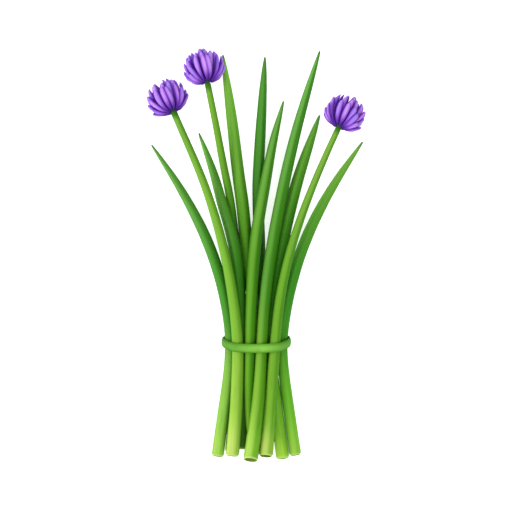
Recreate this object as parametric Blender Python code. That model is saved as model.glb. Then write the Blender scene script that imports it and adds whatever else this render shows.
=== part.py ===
"""A bunch of flowering chives, lying on a surface.

Eight hollow leaves and three flowering stalks are held by one leaf wrapped round them. The tips point to
+Y and the cut ends to -Y, +Z is up, and the surface is the plane z = 0. Lengths below are in millimetres
until a mesh or a curve is made, when MM turns them into metres.
"""

import math

import bmesh
import bpy
import numpy as np
from mathutils import Matrix, Vector

MM = 0.001

# Distances in metres within which vertices are taken as one
CAP_JOIN = 0.00001
COLLAR_JOIN = 0.000002
CUT_SNAP = 0.0000001
SHARP_ANGLE = math.radians(40)

# The bunch as a whole
TIE_Y = -41.4  # where the tie goes round, measured along the bunch
LEVEL_STEP = 4.0  # distance between the levels at which the stems are settled against each other
LOWEST_LEVEL = -108.0
HIGHEST_LEVEL = 112.0
STEM_GAP = 0.35  # clearance kept between neighbouring stems

# How the stems settle: first they are drawn to their routes as they push apart, then they only push apart
PULLING_ROUNDS = 300
PUSHING_ROUNDS = 120
PULL = 0.05
SMOOTHING_WHILE_PULLED = 0.25
SMOOTHING_AFTER = 0.08

# The tie, one flattened leaf
TIE_WIDTH = 4.5
TIE_THICKNESS = 1.45
TIE_CLEARANCE = 0.2
TIE_LEAN = math.radians(3)  # its upper side leans towards the cut ends
TIE_DIRECTIONS = 360
TIE_ROUNDING = 11  # how many of those directions on each side are averaged to round its corners
TIE_SLACK = 0.7  # what the rounding takes of the room underneath
TIE_OVERLAP = 9.0  # how far its two ends run side by side underneath
TIE_END_GAP = 0.4
TIE_STEPS = 71  # straight steps that make up one turn round the stems
TIE_SIDE_STEP_POWER = 6  # the higher, the later each end steps to its own side
TIE_ROOM = 10.0  # how far to each side of the tie the stems stay above its underside

# Every stem is a tube that is open at its cut end
WALL = 0.9
BORE_DEPTH = 12.0
CUT_SPARE = 0.2  # what the slanted cut takes off the short side of a stem's end
TUBE_BEVEL_RESOLUTION = 3
RING_SPACING = 8.0
TIP_RINGS = (5.0, 2.0, 0.4)  # a leaf's last rings, measured back from its tip
TIP_RADIUS = 0.45
TIP_ROUNDING = 0.7  # the radius of the last ring, as a share of that
WIDEST_AT = TIE_Y + 50  # where a leaf is widest

# A flower head, measured from the middle of its receptacle
RECEPTACLE_RADIUS = 2.3
RECEPTACLE_HEIGHT = 2.75  # from the stalk's end to the receptacle's middle
COLLAR_WIDTH = 0.8
PETAL_THICKNESS = 0.75
PETAL_HALF_WIDTH = 1.6
PETAL_SLOT_SHARE = 0.46  # of the angle that a petal has to itself, taken up on each side of its midline
PETAL_BELLY = 0.5  # a petal is widest at this share of its length
PETAL_SHOULDER = 0.82  # and narrows to its point from here
SHOULDER_WIDTH_SHARE = 0.8

# Each ring of petals: how many, the angle that the ring leaves open on the head's upper side (degrees), and
# the bend of a petal as a Bezier line from root to tip in (distance from the axis, distance along it)
PETAL_RINGS = (
    {"count": 8, "open": 116, "bend": ((2.35, -1.7), (4.8, -2.4), (8.4, -1.5), (9.9, 1.9))},
    {"count": 9, "open": 72, "bend": ((2.75, -0.7), (6.0, -1.3), (9.8, 0.8), (10.2, 6.0))},
    {"count": 13, "open": 0, "bend": ((2.75, 0.35), (6.6, 0.3), (9.7, 4.4), (9.0, 9.6))},
    {"count": 12, "open": 0, "bend": ((2.4, 1.35), (5.8, 2.3), (8.5, 7.3), (6.2, 12.5))},
    {"count": 7, "open": 0, "bend": ((1.6, 2.2), (3.5, 3.9), (5.0, 8.9), (2.3, 13.9))},
)
UPPER_SIDE = math.pi / 2  # the direction round the head's axis that faces up

# Leaves: the route runs from the cut end to the tip as (x, y, z). The radii are at the cut end, at the tie
# and where the leaf is widest above it. The taper is the length over which it narrows most of the way to its
# tip, and the cut is the slant of its cut end, in degrees.
LEAVES = {
    "leaf_far_left": {
        "route": (
            (-19.6, -102.7, 3.3), (-15.0, -72, 6.0), (-12.5, TIE_Y, 9.6), (-15.3, -20, 8.5),
            (-23.7, 8, 6.0), (-38.1, 36, 3.0), (-52.0, 57, 0.9),
        ),
        "radii": (3.15, 2.7, 3.35), "taper": 27, "cut": 24,
    },
    "leaf_mid_left": {
        "route": (
            (-7.0, -98.2, 3.2), (-6.4, -72, 5.5), (-6.2, TIE_Y, 9.2), (-6.4, -20, 9.6),
            (-9.6, 8, 9.5), (-17.4, 36, 6.0), (-28.5, 63, 1.0),
        ),
        "radii": (2.7, 2.7, 3.3), "taper": 22, "cut": 15,
    },
    "leaf_tall_left": {
        "route": (
            (-1.4, -99.2, 3.1), (-0.4, -72, 6.0), (0.0, TIE_Y, 9.2), (-2.6, -20, 8.5),
            (-6.0, 8, 7.0), (-8.65, 36, 5.0), (-11.4, 64, 3.6), (-16.5, 102, 0.8),
        ),
        "radii": (2.6, 2.6, 3.3), "taper": 20, "cut": 15,
    },
    "leaf_middle_back": {
        "route": (
            (4.4, -95.2, 3.1), (4.0, -72, 3.6), (3.1, TIE_Y, 4.4), (0.9, -20, 5.0),
            (1.2, 8, 4.5), (1.3, 36, 4.0), (2.25, 64, 3.2), (4.3, 101, 0.8),
        ),
        "radii": (2.6, 2.5, 3.0), "taper": 18, "cut": 15,
    },
    "leaf_middle_front": {
        "route": (
            (0.9, -98.2, 7.9), (-1.8, -86, 8.9), (-3.0, -72, 11.3), (-3.1, TIE_Y, 14.7),
            (-2.6, -20, 14.0), (-0.9, 8, 11.0), (3.4, 36, 7.6), (7.2, 55, 5.0), (13.5, 79, 0.9),
        ),
        "radii": (2.7, 2.45, 3.2), "taper": 21, "cut": 15,
    },
    "leaf_tallest": {
        "route": (
            (-3.0, -103.7, 13.2), (0.4, -72, 14.6), (2.4, TIE_Y, 14.9), (4.1, -20, 14.2),
            (7.9, 8, 12.6), (13.1, 36, 9.6), (19.6, 64, 6.0), (31.4, 104, 0.9),
        ),
        "radii": (3.75, 2.75, 3.05), "taper": 25, "cut": 38,
    },
    "leaf_mid_right": {
        "route": (
            (13.8, -103.8, 3.4), (10.6, -72, 6.3), (6.5, TIE_Y, 9.2), (8.9, -20, 8.8),
            (12.7, 8, 8.0), (19.3, 36, 5.6), (31.4, 72, 0.9),
        ),
        "radii": (3.1, 2.6, 3.4), "taper": 17, "cut": 24,
    },
    "leaf_far_right": {
        "route": (
            (19.7, -102.0, 3.3), (14.8, -72, 6.2), (12.8, TIE_Y, 9.6), (15.6, -20, 8.5),
            (23.6, 8, 6.5), (37.6, 36, 3.4), (52.8, 58.6, 0.9),
        ),
        "radii": (3.05, 2.6, 3.25), "taper": 23, "cut": 24,
    },
}

# Stalks: the last radius is at the flower head. The head leans to the left by its lean, and its turn moves the
# opening in its lowest petals round from the upper side, both in degrees.
STALKS = {
    "stalk_left_low": {
        "route": (
            (-12.3, -101.1, 8.8), (-9.7, -72, 12.0), (-8.7, TIE_Y, 13.7), (-10.6, -20, 14.0),
            (-16.2, 8, 14.2), (-24.4, 36, 14.2), (-40.7, 75.3, 13.0),
        ),
        "radii": (3.45, 2.9, 1.6), "cut": 22,
        "head": "flower_left_low", "lean": 27, "turn": 10,
    },
    "stalk_left_high": {
        "route": (
            (-13.0, -100.2, 3.4), (-10.5, -72, 3.8), (-9.2, TIE_Y, 4.6), (-8.8, -20, 4.4),
            (-10.2, 8, 4.6), (-14.7, 36, 8.0), (-19.05, 64, 12.2), (-24.0, 89.8, 13.0),
        ),
        "radii": (2.65, 2.6, 1.5), "cut": 15,
        "head": "flower_left_high", "lean": 13, "turn": 18,
    },
    "stalk_right": {
        "route": (
            (4.7, -101.0, 12.0), (7.1, -72, 13.4), (9.2, TIE_Y, 13.9), (11.5, -20, 14.2),
            (17.4, 8, 14.3), (27.0, 36, 14.2), (35.6, 56.7, 13.8), (40.6, 67.6, 13.0),
        ),
        "radii": (3.65, 2.8, 1.45), "cut": 28,
        "head": "flower_right", "lean": -25, "turn": -20,
    },
}
HEAD_DIP = math.radians(20)  # the heads nod towards the surface

ROUGHNESS = 0.42
COLOURS = {
    "leaf_dark": (0.075, 0.245, 0.035),
    "leaf_light": (0.180, 0.430, 0.055),
    "stalk_green": (0.270, 0.500, 0.060),
    "tie_green": (0.230, 0.480, 0.070),
    "petal_violet": (0.330, 0.120, 0.720),
    "receptacle_green": (0.120, 0.230, 0.050),
}
LIGHT_LEAVES = ("leaf_tall_left", "leaf_middle_front", "leaf_tallest")


def clear_scene():
    for thing in list(bpy.data.objects):
        bpy.data.objects.remove(thing, do_unlink=True)


def plain_material(name):
    material = bpy.data.materials.new(name)
    material.use_nodes = True
    shader = material.node_tree.nodes["Principled BSDF"]
    shader.inputs["Base Color"].default_value = (*COLOURS[name], 1)
    shader.inputs["Roughness"].default_value = ROUGHNESS
    shader.inputs["Metallic"].default_value = 0
    return material


def curve_through(points, at):
    """Values of a smooth curve through (place, value) points, at the given places."""
    places = np.array([p for p, _ in points], float)
    values = np.array([v for _, v in points], float)
    slopes = np.gradient(values, places)
    piece = np.clip(np.searchsorted(places, at) - 1, 0, len(places) - 2)
    span = places[piece + 1] - places[piece]
    t = (at - places[piece]) / span
    inside = (2 * t**3 - 3 * t**2 + 1) * values[piece] + (3 * t**2 - 2 * t**3) * values[piece + 1]
    bend = (t**3 - 2 * t**2 + t) * slopes[piece] + (t**3 - t**2) * slopes[piece + 1]
    smooth = inside + bend * span
    before = values[0] + (at - places[0]) * slopes[0]
    after = values[-1] + (at - places[-1]) * slopes[-1]
    return np.where(at < places[0], before, np.where(at > places[-1], after, smooth))


def radius_at(stem, y):
    """A stem's radius at each y: narrowest at the tie, and narrowing to a leaf's tip or a flower's stalk."""
    cut_end, tie, last = stem["radii"]
    route = stem["route"]
    start, end = route[0][1], route[-1][1]
    if "taper" not in stem:
        return np.interp(y, (start, TIE_Y, end), (cut_end, tie, last))
    body = np.interp(y, (start, TIE_Y, WIDEST_AT), (cut_end, tie, last))
    left = np.maximum(end - y, 0)
    return body - (body - TIP_RADIUS) * np.exp(-left / stem["taper"])


def settled_stems(stems):
    """Each stem's middle line as x and z at every level, with no two stems closer than their radii.

    At each level the stems' sections are circles. They are drawn to their routes, pushed apart where they
    meet, and kept above the surface, and their shifts are smoothed along the bunch.
    """
    levels = np.arange(LOWEST_LEVEL, HIGHEST_LEVEL + 1, LEVEL_STEP)
    names = list(stems)
    wanted, radii, present = [], [], []
    for name in names:
        route = stems[name]["route"]
        x = curve_through([(p[1], p[0]) for p in route], levels)
        z = curve_through([(p[1], p[2]) for p in route], levels)
        slope = np.gradient(x, levels)
        wanted.append(np.stack([x, z], axis=1))
        radii.append(radius_at(stems[name], levels) * np.sqrt(1 + slope**2))
        near_ends = (levels >= route[0][1] - LEVEL_STEP) & (levels <= route[-1][1] + LEVEL_STEP)
        present.append(near_ends)
    wanted, radii, present = np.array(wanted), np.array(radii), np.array(present)
    place = wanted.copy()
    under_tie = np.abs(levels - TIE_Y) < TIE_ROOM
    floor = radii + np.where(under_tie, TIE_THICKNESS + TIE_CLEARANCE + TIE_SLACK, 0)
    for turn in range(PULLING_ROUNDS + PUSHING_ROUNDS):
        pulled = turn < PULLING_ROUNDS
        if pulled:
            place += PULL * (wanted - place)
        smoothing = SMOOTHING_WHILE_PULLED if pulled else SMOOTHING_AFTER
        shift = place - wanted
        uneven = 0.5 * (shift[:, :-2] + shift[:, 2:]) - shift[:, 1:-1]
        steady = present[:, :-2] & present[:, 1:-1] & present[:, 2:]
        place[:, 1:-1] += smoothing * steady[..., None] * uneven
        for a in range(len(names)):
            for b in range(a + 1, len(names)):
                apart = place[b] - place[a]
                distance = np.maximum(np.linalg.norm(apart, axis=1), 1e-6)
                short = np.maximum(radii[a] + radii[b] + STEM_GAP - distance, 0) * (present[a] & present[b])
                push = 0.5 * (short / distance)[:, None] * apart
                place[a] -= push
                place[b] += push
        place[..., 1] = np.maximum(place[..., 1], floor)
    shift = place - wanted
    for i in range(len(names)):
        first, last = np.flatnonzero(present[i])[[0, -1]]
        shift[i, :first] = shift[i, first]
        shift[i, last + 1:] = shift[i, last]
    return levels, dict(zip(names, wanted + shift))


def stem_points(stem, levels, place):
    """Points along one stem, with a radius each, closer together towards a leaf's tip."""
    start, end = stem["route"][0][1], stem["route"][-1][1]
    count = round((end - start) / RING_SPACING)
    ys = list(np.linspace(start, end, count + 1))
    if "taper" in stem:
        ys[-1:] = [*(end - back for back in TIP_RINGS), end]
    ys = np.array(ys)
    x = curve_through(list(zip(levels, place[:, 0])), ys)
    z = curve_through(list(zip(levels, place[:, 1])), ys)
    radii = radius_at(stem, ys)
    if "taper" in stem:
        radii[-1] *= TIP_ROUNDING
    return [Vector(p) for p in zip(x, ys, z)], radii


def mesh_of_curve(name, curve_object):
    """The curve's surface as a mesh object with its caps joined on, in place of the curve."""
    graph = bpy.context.evaluated_depsgraph_get()
    mesh = bpy.data.meshes.new_from_object(curve_object.evaluated_get(graph))
    place = curve_object.matrix_world.copy()
    bpy.data.objects.remove(curve_object, do_unlink=True)
    shape = bmesh.new()
    shape.from_mesh(mesh)
    bmesh.ops.remove_doubles(shape, verts=shape.verts, dist=CAP_JOIN)
    bmesh.ops.recalc_face_normals(shape, faces=shape.faces)
    shape.to_mesh(mesh)
    shape.free()
    thing = bpy.data.objects.new(name, mesh)
    thing.matrix_world = place
    return thing


def tube_curve(name, points, radii, resolution):
    data = bpy.data.curves.new(name, "CURVE")
    data.dimensions = "3D"
    data.bevel_depth = MM
    data.bevel_resolution = resolution
    data.use_fill_caps = True
    spline = data.splines.new("POLY")
    spline.points.add(len(points) - 1)
    for point, place, radius in zip(spline.points, points, radii):
        point.co = (*(place * MM), 1)
        point.radius = radius
    thing = bpy.data.objects.new(name, data)
    bpy.context.scene.collection.objects.link(thing)
    return thing


def cut_and_bore(thing, points, radius, cut):
    """Cuts the stem's lower end at a slant that faces upwards, and opens it into a blind bore."""
    along = (points[1] - points[0]).normalized()
    side = along.cross(Vector((0, 0, 1))).normalized()
    up = side.cross(along)
    facing = -along * math.cos(cut) + up * math.sin(cut)
    middle = points[0] + along * (radius * math.tan(cut) + CUT_SPARE)
    shape = bmesh.new()
    shape.from_mesh(thing.data)
    everything = shape.verts[:] + shape.edges[:] + shape.faces[:]
    bmesh.ops.bisect_plane(
        shape, geom=everything, plane_co=middle * MM, plane_no=facing, dist=CUT_SNAP, clear_outer=True
    )
    rim = [edge for edge in shape.edges if edge.is_boundary]
    cap = bmesh.ops.contextual_create(shape, geom=rim)["faces"]
    bmesh.ops.inset_region(shape, faces=cap, thickness=WALL * MM)
    floor = bmesh.ops.extrude_discrete_faces(shape, faces=cap)["faces"]
    depth = along * (BORE_DEPTH * MM)
    bmesh.ops.translate(shape, vec=depth, verts=floor[0].verts)
    bmesh.ops.recalc_face_normals(shape, faces=shape.faces)
    shape.to_mesh(thing.data)
    shape.free()


def finish(thing, material, collection, root):
    thing.data.materials.clear()
    thing.data.materials.append(material)
    thing.data.shade_smooth()
    thing.data.set_sharp_from_angle(angle=SHARP_ANGLE)
    collection.objects.link(thing)
    thing.parent = root
    return thing


def make_stem(name, stem, levels, place):
    points, radii = stem_points(stem, levels, place)
    thing = mesh_of_curve(name, tube_curve(name, points, radii, TUBE_BEVEL_RESOLUTION))
    cut_and_bore(thing, points, radii[0], math.radians(stem["cut"]))
    return thing


def tie_outline(stems, levels, places):
    """The closed line, in (x, z), that the middle of the tie's thickness follows round the stems.

    It comes from how far the stems reach in each direction, evened out and then let out until it clears
    them all again.
    """
    level = int(np.argmin(np.abs(levels - TIE_Y)))
    centres = np.array([places[name][level] for name in stems])
    radii = np.array([float(radius_at(stems[name], levels[level])) for name in stems])
    angles, step = np.linspace(0, 2 * math.pi, TIE_DIRECTIONS, endpoint=False, retstep=True)
    facing = np.stack([np.cos(angles), np.sin(angles)], axis=1)
    reach = (facing @ centres.T + radii).max(axis=1)
    shifts = range(-TIE_ROUNDING, TIE_ROUNDING + 1)
    even = np.mean([np.roll(reach, shift) for shift in shifts], axis=0)
    even += (reach - even).max() + TIE_CLEARANCE + TIE_THICKNESS / 2
    slope = (np.roll(even, -1) - np.roll(even, 1)) / (2 * step)
    beside = np.stack([-facing[:, 1], facing[:, 0]], axis=1)
    return even[:, None] * facing + slope[:, None] * beside


def evenly_along(outline, count):
    """Points at even steps along a closed line, starting underneath and going to the right."""
    start = int(np.argmin(outline[:, 1] + 0.01 * np.abs(outline[:, 0])))
    loop = np.roll(outline, -start, axis=0)
    loop = np.vstack([loop, loop[:1]])
    lengths = np.concatenate([[0], np.cumsum(np.linalg.norm(np.diff(loop, axis=0), axis=1))])
    at = np.linspace(0, lengths[-1], count)
    return np.stack([np.interp(at, lengths, loop[:, i]) for i in (0, 1)], axis=1), lengths[-1]


def make_tie(stems, levels, places):
    """A flattened leaf that goes once round the stems, with its ends side by side underneath."""
    loop, length = evenly_along(tie_outline(stems, levels, places), TIE_STEPS + 1)
    loop = loop[:-1]
    extra = round(TIE_OVERLAP / 2 / (length / TIE_STEPS))
    beside = (TIE_WIDTH + TIE_END_GAP) / 2
    points = []
    for i in range(-extra, TIE_STEPS + extra + 1):
        x, z = loop[i % TIE_STEPS]
        share = (i / TIE_STEPS - 0.5) * 2
        side_step = beside * math.copysign(min(1, abs(share)) ** TIE_SIDE_STEP_POWER, share)
        lean = -math.tan(TIE_LEAN) * (z - loop[:, 1].mean())
        points.append((x, z, -(TIE_Y + lean + side_step)))
    data = bpy.data.curves.new("tie_leaf", "CURVE")
    data.dimensions = "3D"
    data.twist_mode = "Z_UP"
    data.extrude = (TIE_WIDTH - TIE_THICKNESS) / 2 * MM
    data.bevel_depth = TIE_THICKNESS / 2 * MM
    data.bevel_resolution = 1
    data.use_fill_caps = True
    spline = data.splines.new("POLY")
    spline.points.add(len(points) - 1)
    for point, place in zip(spline.points, points):
        point.co = (*(Vector(place) * MM), 1)
    thing = bpy.data.objects.new("tie_curve", data)
    thing.rotation_euler = (math.pi / 2, 0, 0)
    bpy.context.scene.collection.objects.link(thing)
    bpy.context.view_layer.update()
    return mesh_of_curve("tie_leaf", thing)


def head_frame(stalk, top):
    """The matrix of a flower head: its origin in the receptacle, its Z axis along the head's axis."""
    lean = math.radians(stalk["lean"])
    level = Vector((-math.sin(lean), math.cos(lean), 0))
    axis = level * math.cos(HEAD_DIP) - Vector((0, 0, 1)) * math.sin(HEAD_DIP)
    turned = axis.to_track_quat("Z", "Y").to_matrix().to_4x4()
    start = Matrix.Translation((top + axis * RECEPTACLE_HEIGHT) * MM)
    return start @ turned @ Matrix.Rotation(math.radians(stalk["turn"]), 4, "Z")


def along_bend(bend, share):
    """The place, in (distance from the axis, distance along it), at a share of a petal's bend."""
    rest = 1 - share
    weights = (rest**3, 3 * rest**2 * share, 3 * rest * share**2, share**3)
    return np.array(weights) @ np.array(bend)


def across_bend(bend, share):
    """The direction out of a petal's back at a share of its bend."""
    nearby = 0.01
    before, after = (along_bend(bend, s) for s in (max(share - nearby, 0), min(share + nearby, 1)))
    out, along = (after - before) / np.linalg.norm(after - before)
    return np.array((along, -out))


def on_head(place, around):
    """A point of the head at an angle around its axis."""
    out, along = place
    return Vector((out * math.cos(around), out * math.sin(around), along)) * MM


def make_petal_ring(name, ring):
    """A ring of petals in one piece: each runs from a shared collar out to a point."""
    shape = bmesh.new()
    bend = ring["bend"]
    open_angle = math.radians(ring["open"])
    slot = (2 * math.pi - open_angle) / ring["count"]
    length = np.linalg.norm(np.diff(bend, axis=0), axis=1).sum()
    shares = (0, COLLAR_WIDTH / length, PETAL_BELLY, PETAL_SHOULDER)
    widths = (None, None, PETAL_HALF_WIDTH, SHOULDER_WIDTH_SHARE * PETAL_HALF_WIDTH)
    for j in range(ring["count"]):
        middle = UPPER_SIDE + open_angle / 2 + (j + 0.5) * slot
        rows = []
        for share, width in zip(shares, widths):
            place = along_bend(bend, share)
            back = across_bend(bend, share) * PETAL_THICKNESS / 2
            around = slot / 2
            if width:
                around = min(width / place[0], PETAL_SLOT_SHARE * slot)
            corners = ((-around, back), (around, back), (around, -back), (-around, -back))
            rows.append([shape.verts.new(on_head(place + b, middle + a)) for a, b in corners])
        point = shape.verts.new(on_head(bend[-1], middle))
        shape.faces.new(rows[0])
        joined_sides = []
        if j > 0 or not open_angle:
            joined_sides.append(3)
        if j < ring["count"] - 1 or not open_angle:
            joined_sides.append(1)
        for inner, outer in zip(rows, rows[1:]):
            for k in range(4):
                beside_collar = inner is rows[0] and k in joined_sides
                if not beside_collar:
                    shape.faces.new((inner[k], outer[k], outer[(k + 1) % 4], inner[(k + 1) % 4]))
        for k in range(4):
            shape.faces.new((rows[-1][k], point, rows[-1][(k + 1) % 4]))
    bmesh.ops.remove_doubles(shape, verts=shape.verts, dist=COLLAR_JOIN)
    bmesh.ops.triangulate(shape, faces=shape.faces)
    bmesh.ops.recalc_face_normals(shape, faces=shape.faces)
    mesh = bpy.data.meshes.new(name)
    shape.to_mesh(mesh)
    shape.free()
    return bpy.data.objects.new(name, mesh)


def make_receptacle(name):
    shape = bmesh.new()
    bmesh.ops.create_uvsphere(shape, u_segments=10, v_segments=6, radius=RECEPTACLE_RADIUS * MM)
    mesh = bpy.data.meshes.new(name)
    shape.to_mesh(mesh)
    shape.free()
    return bpy.data.objects.new(name, mesh)


def centre_on_origin(root, things):
    """Moves the whole bunch so that the middle of its underside is the origin."""
    bpy.context.view_layer.update()
    corners = [thing.matrix_world @ v.co for thing in things for v in thing.data.vertices]
    low = [min(c[i] for c in corners) for i in range(3)]
    high = [max(c[i] for c in corners) for i in range(3)]
    root.location = (-(low[0] + high[0]) / 2, -(low[1] + high[1]) / 2, -low[2])


def main():
    clear_scene()
    bunch = bpy.data.collections.new("chive_bunch")
    bpy.context.scene.collection.children.link(bunch)
    root = bpy.data.objects.new("bunch_root", None)
    bunch.objects.link(root)
    materials = {name: plain_material(name) for name in COLOURS}
    stems = {**LEAVES, **STALKS}
    levels, places = settled_stems(stems)
    things = []
    for name in LEAVES:
        colour = materials["leaf_light" if name in LIGHT_LEAVES else "leaf_dark"]
        things.append(finish(make_stem(name, stems[name], levels, places[name]), colour, bunch, root))
    for name, stalk in STALKS.items():
        thing = make_stem(name, stalk, levels, places[name])
        things.append(finish(thing, materials["stalk_green"], bunch, root))
        top = stem_points(stalk, levels, places[name])[0][-1]
        place = head_frame(stalk, top)
        pieces = [(make_receptacle(stalk["head"] + "_receptacle"), "receptacle_green")]
        for number, ring in enumerate(PETAL_RINGS, start=1):
            pieces.append((make_petal_ring(f"{stalk['head']}_petals_{number}", ring), "petal_violet"))
        for piece, colour in pieces:
            things.append(finish(piece, materials[colour], bunch, root))
            piece.matrix_world = place
    things.append(finish(make_tie(stems, levels, places), materials["tie_green"], bunch, root))
    centre_on_origin(root, things)


main()
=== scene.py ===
import math

import bmesh
import bpy
import numpy as np
from mathutils import Matrix, Vector


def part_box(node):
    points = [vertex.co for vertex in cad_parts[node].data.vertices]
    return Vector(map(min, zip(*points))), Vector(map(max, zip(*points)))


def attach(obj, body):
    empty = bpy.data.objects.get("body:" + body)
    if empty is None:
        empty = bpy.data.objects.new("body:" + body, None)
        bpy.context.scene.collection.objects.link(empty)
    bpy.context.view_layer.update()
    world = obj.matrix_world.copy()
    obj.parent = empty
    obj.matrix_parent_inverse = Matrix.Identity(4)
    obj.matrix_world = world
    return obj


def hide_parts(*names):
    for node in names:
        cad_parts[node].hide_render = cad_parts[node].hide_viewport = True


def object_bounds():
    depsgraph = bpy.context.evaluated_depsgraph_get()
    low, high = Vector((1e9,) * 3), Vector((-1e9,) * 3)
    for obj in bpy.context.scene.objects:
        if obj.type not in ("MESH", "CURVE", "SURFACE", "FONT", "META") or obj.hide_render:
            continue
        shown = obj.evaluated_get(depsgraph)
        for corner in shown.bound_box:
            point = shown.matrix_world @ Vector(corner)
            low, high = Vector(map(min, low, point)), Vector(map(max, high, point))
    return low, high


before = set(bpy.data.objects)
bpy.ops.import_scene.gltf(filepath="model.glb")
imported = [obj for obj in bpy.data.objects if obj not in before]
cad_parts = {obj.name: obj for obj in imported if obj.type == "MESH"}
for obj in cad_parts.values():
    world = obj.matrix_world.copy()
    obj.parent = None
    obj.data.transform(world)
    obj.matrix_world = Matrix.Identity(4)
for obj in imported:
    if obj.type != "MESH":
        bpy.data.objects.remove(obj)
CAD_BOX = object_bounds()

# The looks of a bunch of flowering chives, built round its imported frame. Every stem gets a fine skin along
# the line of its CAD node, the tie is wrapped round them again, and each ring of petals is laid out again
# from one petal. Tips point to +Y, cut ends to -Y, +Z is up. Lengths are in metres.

MM = 0.001
UP = np.array((0.0, 0.0, 1.0))
BODY = "root"

# Reading a stem's line from its CAD node
SECTION_STEP = 1 * MM
CUT_ZONE = 8 * MM  # sections start this far above the lowest point of the slanted cut
TIP_ZONE = 1 * MM
SMOOTHING_PASSES = 30
REACH_BELOW = 12 * MM  # the line is drawn on straight this far below the first section
SLOPE_SECTIONS = 12  # how many sections the radius is carried on from, below the first one
CUT_FACE_LIMIT = 0.75  # a face that looks this much down the stem belongs to the cut or the bore's floor

# The stems' skin
SIDES = 40
RING_STEP = 1.8 * MM
STEM_UNEVENNESS = 0.07
SLANT_FADE = 12 * MM  # the rings stand square to the stem this far above the slanted cut
WALL_SHARE = 0.13  # of the cut end's radius
BORE_DEPTH = 9 * MM
BORE_LIMIT = 0.25  # the longest that a bore may be, as a share of the stem's length
RIM_ROUND = 0.2 * MM
PINCHES = {"leaf_tallest": 0.2 * MM}  # how much a cut end's radius draws in
OTHER_PINCHES = 0.55 * MM
PINCH_LENGTH = 1.6 * MM
PINCH_RINGS = (0.3 * MM, 0.55 * MM, 0.9 * MM, 1.3 * MM)
FIRST_RING = 2 * MM  # the evenly spaced rings start this far above the cut
LAST_RING_GAP = 1 * MM  # and end at least this far below the rounded top
TIP_RADIUS = 0.38 * MM
TIP_ROUNDING_ANGLES = (75, 55, 35, 15)  # where the rings of a rounded top lie, in degrees from its point
SWELLS = {"leaf_mid_right": 0.3 * MM}  # how much a stem's radius grows below the tie
NUDGES = {"stalk_right": -0.55 * MM}  # how far a cut end is moved sideways
SWELL_END = 66 * MM  # both have faded out this far above the cut
SWELL_FADE = 2.5
INSIDE_SHARE = 0.03  # the bore's rings are told from the outside ones by a share below zero
FLOOR_CLEARANCE = 1.05  # in radii
ROUND_POWER = 2.0  # of a round section; a lower power makes it keeled
KEEL_POWER = 0.55
KEEL_FROM = 0.2  # the share of the stem's length where its keel begins
KEEL_FADE = 0.4
JOIN_DISTANCE = 0.002 * MM

# The tie
TIE_NODE = "tie_leaf"
TIE_HALF_WIDTH = 2.25 * MM
TIE_HALF_THICKNESS = 0.76 * MM
TIE_CLEARANCE = 0.12 * MM
TIE_DIRECTIONS = 360
TIE_ROUNDING = 14  # how many of those directions on each side are averaged to round its corners
TIE_LEAN = math.tan(math.radians(8))
TIE_OVERLAP = 9 * MM
TIE_END_STEP = 2.45 * MM  # how far each end steps aside to make room for the other
TIE_END_STEP_POWER = 6
TIE_TAPER = 3 * MM
TIE_RINGS = 170
TIE_SIDES = 32
TIE_UNEVENNESS = 0.1
TIE_SEED = 3.0
TIE_COLOUR_SEED = 50.0

# Flower heads. Each ring of petals has its number of petals, the angle that it leaves open on the head's
# upper side in degrees, and the bend of one petal as a Bezier line from root to tip, in millimetres:
# (distance from the head's axis, distance along it from the receptacle's middle).
PETAL_RINGS = (
    {"count": 8, "open": 116, "bend": ((1.5, -2.1), (4.4, -2.4), (8.6, -1.2), (10.1, 2.5))},
    {"count": 9, "open": 72, "bend": ((1.4, -2.1), (5.6, -2.1), (9.9, 0.7), (10.3, 6.1))},
    {"count": 13, "open": 0, "bend": ((1.3, -2.0), (6.0, -1.7), (10.0, 3.6), (9.1, 9.7))},
    {"count": 12, "open": 0, "bend": ((1.2, -1.7), (5.6, -0.6), (8.9, 6.8), (6.4, 12.6))},
    {"count": 7, "open": 0, "bend": ((0.9, -1.2), (3.8, 1.5), (6.3, 8.4), (4.0, 13.9))},
)
HEAD_TURNS = {"flower_left_low": 10, "flower_left_high": 18, "flower_right": -20}
HEAD_SEEDS = {"flower_left_low": 1000, "flower_left_high": 1100, "flower_right": 3200}
SEED_STEP = 10
UPPER_SIDE = math.pi / 2
PETAL_HALF_WIDTH = 1.66 * MM
PETAL_HALF_THICKNESS = 0.5 * MM
PETAL_CUP = 0.45
PETAL_COLUMNS = 10
PETAL_ROWS = 18
PETAL_ROW_CROWDING = 1.5
PETAL_WIDEST_AT = 0.74
PETAL_ROOT_WIDTH = 0.16
PETAL_WIDENING_POWER = 1.15
PETAL_TIP_POWER = 0.45  # the lower, the rounder its tip
PETAL_RIB = 0.25  # in half thicknesses
PETAL_RIB_WIDTH = 0.22
PETAL_ROOT_THICKNESS = 0.4  # as a share of its full thickness
PETAL_THICKENING = 3
PETAL_THINNING = 9
# How far the petals of a ring stray from each other, to either side
PLACE_SPREAD = 0.18  # of the room that a petal has in its ring
MEAN_SIZE = 0.95
SIZE_SPREAD = 0.05
SWAY_SPREAD = 2.1 * MM
TILT_SPREAD = 0.5 * MM
ROLL_SPREAD = 0.35
MEAN_TONE = 0.5
TONE_SPREAD = 0.5
BEND_RESOLUTION = 40
RECEPTACLE_PROFILE = (
    (0, -3.2), (0.7, -3.15), (1.15, -3.0), (1.3, -2.7), (1.35, -2.4), (1.6, -1.8), (2.0, -1.0), (2.2, -0.2),
    (2.15, 0.5), (1.8, 1.2), (1.2, 1.8), (0.6, 2.1), (0, 2.2),
)
RECEPTACLE_SEGMENTS = 30
SEGMENTS_PER_LOBE = 3
LOBE_DEPTH = 0.04


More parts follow.
